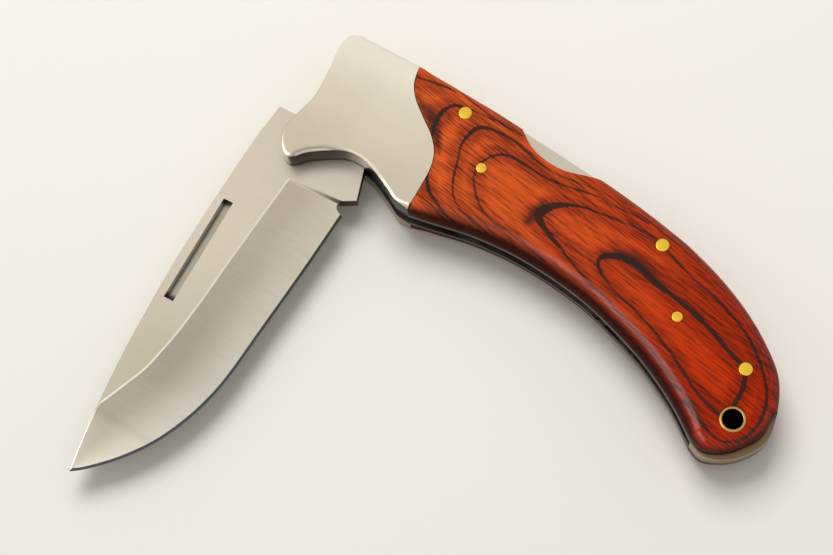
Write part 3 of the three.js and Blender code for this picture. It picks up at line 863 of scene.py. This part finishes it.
barOutline = [
    (hookFront, hookBottom), (hookBack, hookBottom), (hookBack, barUnder),
    (bumpFront - lock["kickGap"], barUnder), (bumpFront, barLow),
    (rockerX + pinRadius + lock["underPin"], barLow), (lock["tailReach"], tailUnder),
    *reversed(spineBetween(hookFront, lock["tailReach"], plates["barProud"])),
]
slotWall = layers["slotBottom"] + layers["play"], layers["slotTop"] - layers["play"]
bm = bmesh.new()
block(bm, barOutline, *slotWall)
lockBar = meshObject(bm, "lockBar")
cutter = bmesh.new()
roundBlock(cutter, (rockerX, rockerY), 2 * pinRadius, *through, 48)
carve(lockBar, cutter)
soften(lockBar, lambda edge: True, plates["edge"])
finishPiece(lockBar, "lock_body", [springSteel], "lock_bar")

springFront = lock["tailReach"] + lock["tailGap"]
leafTop = tailUnder - lock["leafDrop"]
tipTop = leafTop + lock["leafRise"]
innerLine = lineThrough([(86.9, -25.2), (86.2, -23), (86.3, -19), (84.9, -13.5), (81.2, -7.6), (76, -3.6),
                         (70, -1), (62, 0.8), (55.5, 1.9),
                         (springFront, leafTop - lock["leafThickness"])], 0.8)
springOutline = [
    (springFront, spineAt(springFront)), *(p for p in spineLine if p.x > springFront), *buttLine, *innerLine,
    (lock["leafTip"], tipTop - lock["leafThickness"]), (lock["leafTip"], tipTop), (springFront, leafTop),
]
bm = bmesh.new()
block(bm, springOutline, layers["slotBottom"], layers["slotTop"])
backSpring = meshObject(bm, "backSpring")
cutter = bmesh.new()
springPins = (pins["springFront"], pins["springRear"])
plateHoles(cutter, [*((pin["place"], pin["diameter"]) for pin in springPins), tubeHole])
carve(backSpring, cutter)
soften(backSpring, lambda edge: True, plates["edge"])
finishPiece(backSpring, "handle", [springSteel, buttShadeSteel], "back_spring")
sortFaces(backSpring, lambda face: buttShadeSteel if abs(face.normal.z) < 0.5 else springSteel)
print("plates made")

# Blade, drawn open with the tip towards -X, then turned a quarter
blade = {
    "half": 1.3,
    "reach": 86.0,
    "start": -17.4,
    "spine": [(-16, 13.65), (-30, 13.7), (-42, 13.45), (-52, 12.85), (-62, 12), (-72, 10.7), (-79, 9.7),
              (-86, 8.5)],
    "grind": [(-17.4, 3.4), (-34, 4.3), (-47, 4.8), (-54, 5.3), (-58.5, 5.9), (-62.9, 6.7), (-67.4, 8.3),
              (-72.4, 10.2), (-80, 13.1)],
    "edge": [(-16.4, -9.2), (-32, -8.7), (-44, -8.1), (-56, -7.5), (-62, -6.6), (-68, -4.9), (-74, -2.2),
             (-79.5, 1.6), (-84, 5.8), (-86, 8.3)],
    "ricasso": [(-12, 13.5), (-17.4, 13.65), (-17.4, 3.4), (-16.5, -7.8), (-15.1, -10.2), (-8.3, -7.9),
                (-1, -5.1), (0, 0)],
    "spineEnd": 13.0,
    "choil": [(-16.2, -8.4), (-16.6, -7.6), (-17.3, -7.2), (-18.1, -7.5), (-18.6, -8.4), (-19, -9.6)],
    "pivotHole": 4.2,
    "notchTurns": (0, -90, -171),
    "notchTop": 18.3,
    "tangRound": 0.1,
    "bevelWidth": 0.45,
    "grindHalfEdge": 0.3,
    "grindHeight": 11.5,
    "edgeHalf": 0.06,
    "plungeRun": 0.45,
    "plungeSlant": 0.9,
    "plungeZone": 1.2,
    "plungeStations": 9,
    "stations": 116,
    "spineRound": 0.12,
    "spineStrip": 0.18,
    "grindRound": 0.2,
}


def heightOf(line):
    smooth = lineThrough(line, 0.4)
    xs = [p.x for p in reversed(smooth)]
    ys = [p.y for p in reversed(smooth)]
    return lambda x: float(np.interp(x, xs, ys))


spineOf, grindOf, edgeOf = heightOf(blade["spine"]), heightOf(blade["grind"]), heightOf(blade["edge"])


# One cross section, from the spine down one side and up the other
def bladeSection(x):
    least = 0.04
    low = edgeOf(x)
    high = max(spineOf(x), low + 6 * least)
    strip = min(blade["spineStrip"], 0.4 * (high - low))
    grind = min(max(grindOf(x), low + 3 * least), high - strip)
    slope = edgeOf(x + 0.5) - edgeOf(x - 0.5)
    bevel = min(low + blade["bevelWidth"] * math.hypot(1, slope), grind - least)
    thickening = (blade["half"] - blade["grindHalfEdge"]) * (grind - bevel) / blade["grindHeight"]
    half = min(blade["half"], blade["grindHalfEdge"] + thickening)
    ramp = min(1, (blade["start"] - x) / blade["plungeRun"])
    ground = ramp * ramp * (3 - 2 * ramp)
    bevelHalf = half + (blade["grindHalfEdge"] - half) * ground
    edgeHalf = half + (blade["edgeHalf"] - half) * ground
    slant = blade["plungeSlant"] * max(0, 1 - (blade["start"] - x) / 8)
    spineCut = min(blade["spineRound"], 0.4 * half, 0.3 * (high - grind))
    facet = min(blade["grindRound"], 0.3 * (high - grind), 0.3 * (grind - bevel))
    fall = (half - bevelHalf) / max(grind - bevel, least)
    side = [
        (x, high, half - spineCut), (x, high - spineCut, half), (x, grind + facet, half),
        (x, grind - facet, half - facet * fall), (x + slant, bevel, bevelHalf), (x + slant, low, edgeHalf)]
    return side + [(a, b, -c) for a, b, c in reversed(side)]


# The notch at the choil, for the tang and the ground part alike
def addChoil(cutter):
    block(cutter, [*lineThrough(blade["choil"], 0.2), (-16, blade["choil"][-1][1])], *through)


plungeEnd = blade["start"] - blade["plungeZone"]
stations = np.concatenate([
    np.linspace(blade["start"], plungeEnd, blade["plungeStations"])[:-1],
    np.linspace(plungeEnd, -blade["reach"], blade["stations"])])
bm = bmesh.new()
sections = [bladeSection(x) for x in stations]
corners = len(sections[0])
bmesh.ops.create_grid(bm, x_segments=len(stations) - 1, y_segments=corners, size=1)
for vert in bm.verts:
    station = round((vert.co.x + 1) / 2 * (len(stations) - 1))
    corner = round((vert.co.y + 1) / 2 * corners) % corners
    x, y, z = sections[station][corner]
    vert.co = (x, y, slotMiddle + z)
bmesh.ops.remove_doubles(bm, verts=bm.verts, dist=weld)
openEdges = [e for e in bm.edges if e.is_boundary]
bmesh.ops.holes_fill(bm, edges=openEdges, sides=0)
groundBlade = meshObject(bm, "groundBlade")
cutter = bmesh.new()
addChoil(cutter)
carve(groundBlade, cutter)

notchFront = hookFront - 2 * lock["runningGap"]
notchBack = hookBack + 2 * lock["runningGap"]
notchFloor = hookBottom - lock["drop"] - 0.5 * lock["runningGap"]
bm = bmesh.new()
block(bm, [*blade["ricasso"], (notchFront, notchFloor), (notchFront, blade["spineEnd"])], *slotWall)
bladeSteel = meshObject(bm, "blade")
tang = bmesh.new()
roundBlock(tang, (0, 0), 2 * lock["tangRadius"], *slotWall, 96)
carve(bladeSteel, tang, "UNION")
cutter = bmesh.new()
addChoil(cutter)
roundBlock(cutter, (0, 0), blade["pivotHole"], *through)
carve(bladeSteel, cutter)
notch = [(notchFront, notchFloor), (notchBack, notchFloor), (notchBack, blade["notchTop"]),
         (notchFront, blade["notchTop"])]
for degrees in blade["notchTurns"]:
    cutter = bmesh.new()
    block(cutter, notch, *through)
    turn = Matrix.Rotation(math.radians(degrees), 3, "Z")
    bmesh.ops.rotate(cutter, verts=cutter.verts, cent=(0, 0, 0), matrix=turn)
    carve(bladeSteel, cutter)


# Any edge of the tang but those of the wall that the ground part grows from
def clearOfGround(edge):
    spots = [v.co for v in edge.verts]
    return not all(s.x < -16.45 and s.y > -7.9 and (s.x < -17.39 or s.y < 3.2) for s in spots)


soften(bladeSteel, clearOfGround, blade["tangRound"])

# Nail nick: a long V groove with its steep wall towards the spine
nick = {
    "length": 22.3,
    "width": 2.05,
    "depth": 0.8,
    "steepWall": 0.4,
    "over": 0.5,
    "place": (-38.2, 10.75),
    "tilt": 1.9,
    "shadedEndLength": 0.45,
    "creaseShade": 0.4,
}
half, over = nick["width"] / 2, nick["over"]
across = [(-half, over), (-half, 0), (half - nick["steepWall"], -nick["depth"]), (half, 0), (half, over)]
cutter = bmesh.new()
block(cutter, across, -nick["length"] / 2, nick["length"] / 2)
bmesh.ops.transform(cutter, verts=cutter.verts, matrix=(
    Matrix.Translation((*nick["place"], slotMiddle + blade["half"]))
    @ Matrix.Rotation(math.radians(nick["tilt"]), 4, "Z")
    @ Matrix.Rotation(math.radians(90), 4, "X") @ Matrix.Rotation(math.radians(90), 4, "Y")))
carve(groundBlade, cutter)
nickSteel = makeNickSteel(nick["place"][0], nick["length"] / 2 - nick["shadedEndLength"],
                          slotMiddle + blade["half"] - nick["depth"], nick["creaseShade"])

whole = bmesh.new()
whole.from_mesh(bladeSteel.data)
whole.from_mesh(groundBlade.data)
bmesh.ops.rotate(whole, verts=whole.verts, cent=(0, 0, 0), matrix=Matrix.Rotation(math.radians(90), 3, "Z"))
whole.to_mesh(bladeSteel.data)
whole.free()
bpy.data.objects.remove(groundBlade)


# How far down the ground face a point lies: 0 at the grind line, 1 at the cutting edge
def grindShare(spot):
    x, y = spot.y, -spot.x
    top = min(grindOf(x), spineOf(x))
    return (top - y) / max(top - edgeOf(x), 0.5)


# The blade has been turned by now, so x and y are those of the blade as it was drawn, open
# Painted shade, highlight and reflection: the plunge ramp, the tang's walls, the grind line and the edge
# bevel get their own materials
def bladeFinish(face):
    x, y = face.center.y / mm, -face.center.x / mm
    level = abs(face.normal.z)
    depth = blade["half"] - abs(face.center.z / mm - slotMiddle)
    grind = min(grindOf(x), spineOf(x) - blade["spineStrip"])
    lean = blade["plungeSlant"] * max(grind - y, 0) / (grind - edgeOf(min(x, blade["start"])))
    ramp = (blade["start"] + lean - x) / blade["plungeRun"]
    if 0 < ramp < 1.2 and 0.2 < level < 0.85 and lean > 0.3 * blade["plungeSlant"]:
        return plungeSteel
    if x > blade["start"] and level < 0.3 and y < 0:
        return tangWallShade
    if x > blade["start"] or level > 0.99995:
        return bladeFlat
    if y > grind + 0.7 * blade["grindRound"]:
        return nickSteel if depth > 0.01 and y < spineOf(x) - 0.5 else bladeFlat
    if abs(y - grind) < 0.5 * blade["grindRound"]:
        return grindEdgeHighlight
    return bladeEdgeDarkReflection if level < 0.96 and abs(face.normal.y) < 0.9 else bladeGround


markPoints(bladeSteel, "grindShare", [grindShare(v.co) for v in bladeSteel.data.vertices])
bladeFinishes = [bladeFlat, bladeGround, bladeEdgeDarkReflection, grindEdgeHighlight, tangWallShade, nickSteel, plungeSteel]
finishPiece(bladeSteel, "blade_body", bladeFinishes, "blade", 8)
sortFaces(bladeSteel, bladeFinish)
print("blade made")

# Nodes that stay as the CAD has them, inside the bolsters
for name in ("pivot_pin", "bolster_rivet_upper_front", "bolster_rivet_upper_rear",
             "bolster_rivet_lower_front", "bolster_rivet_lower_rear"):
    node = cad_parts[name]
    node.data.materials.clear()
    node.data.materials.append(nickelSilver)

# Floor, light and camera
studio = {
    "floor": paint(231, 226, 217),
    "floorReach": 3.0,
    "skyForLight": 0.54,
    "skyInView": 1.0,
    "lamps": {
        "shineLamp": {"place": (-371, -316, 496), "size": 0.6, "power": 5.2, "diffuse": False},
        "keyLamp": {"place": (-190, 200, 590), "size": 0.4, "power": 3.1, "diffuse": True},
    },
    "cameraPlace": (110.2, -120.3, 358.0),
    "cameraAim": (27.7, -22.4, 6.3),
    "cameraRoll": 10.0,
    "lens": 86.4,
}
bm = bmesh.new()
bmesh.ops.create_grid(bm, x_segments=1, y_segments=1, size=studio["floorReach"])
floorMesh = bpy.data.meshes.new("floor")
bm.to_mesh(floorMesh)
bm.free()
floor = bpy.data.objects.new("floor", floorMesh)
bpy.context.scene.collection.objects.link(floor)
table = Finish(bpy.data.materials.new("paleTable"))
floorMesh.materials.append(table.surface(Base_Color=studio["floor"], Roughness=0.9, Specular_IOR_Level=0.1))

# The sky is white to the camera and in reflections, and dimmer as a light
world = bpy.data.worlds.new("studio")
bpy.context.scene.world = world
sky = Finish(world)
seen = sky.add("ShaderNodeLightPath", output="Is Camera Ray")
for ray in ("Is Glossy Ray", "Is Transmission Ray"):
    seen = seen.sum("MAXIMUM", sky.add("ShaderNodeLightPath", output=ray))
white = (1, 1, 1, 1)
dim = sky.add("ShaderNodeBackground", inputs={"Color": white, "Strength": studio["skyForLight"]})
bright = sky.add("ShaderNodeBackground", inputs={"Color": white, "Strength": studio["skyInView"]})
either = sky.add("ShaderNodeMixShader", inputs={0: seen, 1: dim, 2: bright})
sky.add("ShaderNodeOutputWorld", inputs={"Surface": either})

# The key lamp lights the wood and casts the shadows, the shine lamp gives the highlights
aim = Vector(studio["cameraAim"]) * mm
for name, values in studio["lamps"].items():
    lampData = bpy.data.lights.new(name, "AREA")
    lampData.shape = "DISK"
    lampData.size = values["size"]
    lampData.energy = values["power"]
    lamp = bpy.data.objects.new(name, lampData)
    lamp.location = Vector(values["place"]) * mm
    lamp.rotation_euler = (aim - lamp.location).to_track_quat("-Z", "Y").to_euler()
    lamp.visible_diffuse = values["diffuse"]
    lamp.visible_glossy = not values["diffuse"]
    bpy.context.scene.collection.objects.link(lamp)

cameraData = bpy.data.cameras.new("camera")
cameraData.lens = studio["lens"]
cameraData.sensor_width = 36
cameraData.clip_start = 0.01
camera = bpy.data.objects.new("camera", cameraData)
camera.location = Vector(studio["cameraPlace"]) * mm
look = (aim - camera.location).to_track_quat("-Z", "Y").to_matrix()
camera.rotation_euler = (look @ Matrix.Rotation(math.radians(-studio["cameraRoll"]), 3, "Z")).to_euler()
bpy.context.scene.collection.objects.link(camera)
bpy.context.scene.camera = camera
bpy.context.scene.view_settings.view_transform = "Standard"
print("studio made")
